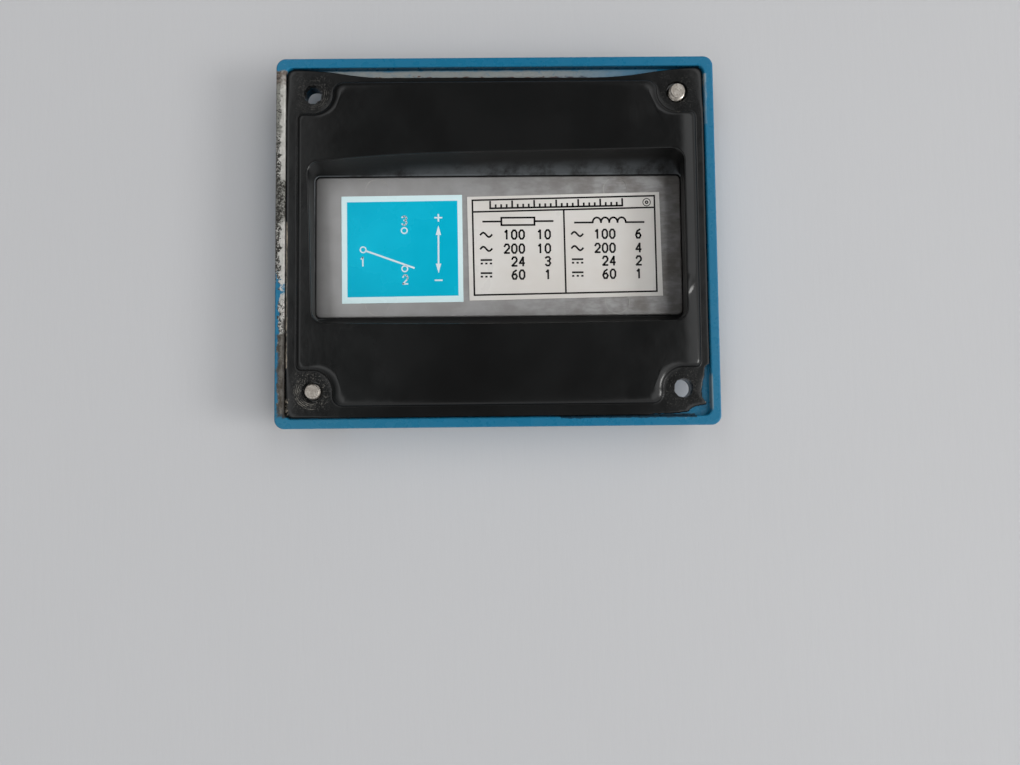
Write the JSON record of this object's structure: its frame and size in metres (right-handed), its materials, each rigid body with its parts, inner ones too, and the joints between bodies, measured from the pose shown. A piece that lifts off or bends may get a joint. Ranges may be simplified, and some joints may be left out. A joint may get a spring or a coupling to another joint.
{
  "type": "differential pressure switch cover",
  "caption": "Low rectangular die-cast cover with a black moulded seal liner, a recessed window with two labels, and captive screws with washers in opposite corners.",
  "frame": {"origin": "middle of the front face, on which the cover lies", "axes": "+X along the long sides, +Y towards the top edge of the inner side, +Z out of the inner side"},
  "size_m": [0.108, 0.0914, 0.0144],
  "materials": {
    "blue_paint": "satin blue paint on die-cast aluminium, bare on the label pad and on the worn lip",
    "black_rubber": "glossy black moulded rubber",
    "cyan_label_film": "printed film with a white border",
    "white_label_film": "off-white printed film",
    "screw_steel": "plated steel, tarnished at the tips",
    "washer_steel": "plated steel"
  },
  "bodies": {
    "cover": {"cover_casting": "blue_paint", "liner": "black_rubber", "wiring_label": "cyan_label_film", "rating_label": "white_label_film"},
    "washers_top_right": {"spring_washer_top_right": "washer_steel", "plain_washer_top_right": "washer_steel"},
    "screw_top_right": {"screw_top_right": "screw_steel"},
    "washers_bottom_left": {"spring_washer_bottom_left": "washer_steel", "plain_washer_bottom_left": "washer_steel"},
    "screw_bottom_left": {"screw_bottom_left": "screw_steel"}
  },
  "joints": [
    {"name": "top_right_slide", "type": "slide", "parent": "cover", "child": "washers_top_right", "axis": [0, 0, 1], "range_m": [-0.0009, 0.0021]},
    {"name": "top_right_spin", "type": "hinge", "parent": "washers_top_right", "child": "screw_top_right", "pos_m": [0.045, 0.0367, 0.0036], "axis": [0, 0, 1], "continuous": true},
    {"name": "bottom_left_slide", "type": "slide", "parent": "cover", "child": "washers_bottom_left", "axis": [0, 0, 1], "range_m": [0, 0.003]},
    {"name": "bottom_left_spin", "type": "hinge", "parent": "washers_bottom_left", "child": "screw_bottom_left", "pos_m": [-0.045, -0.0367, 0.0027], "axis": [0, 0, 1], "continuous": true}
  ]
}
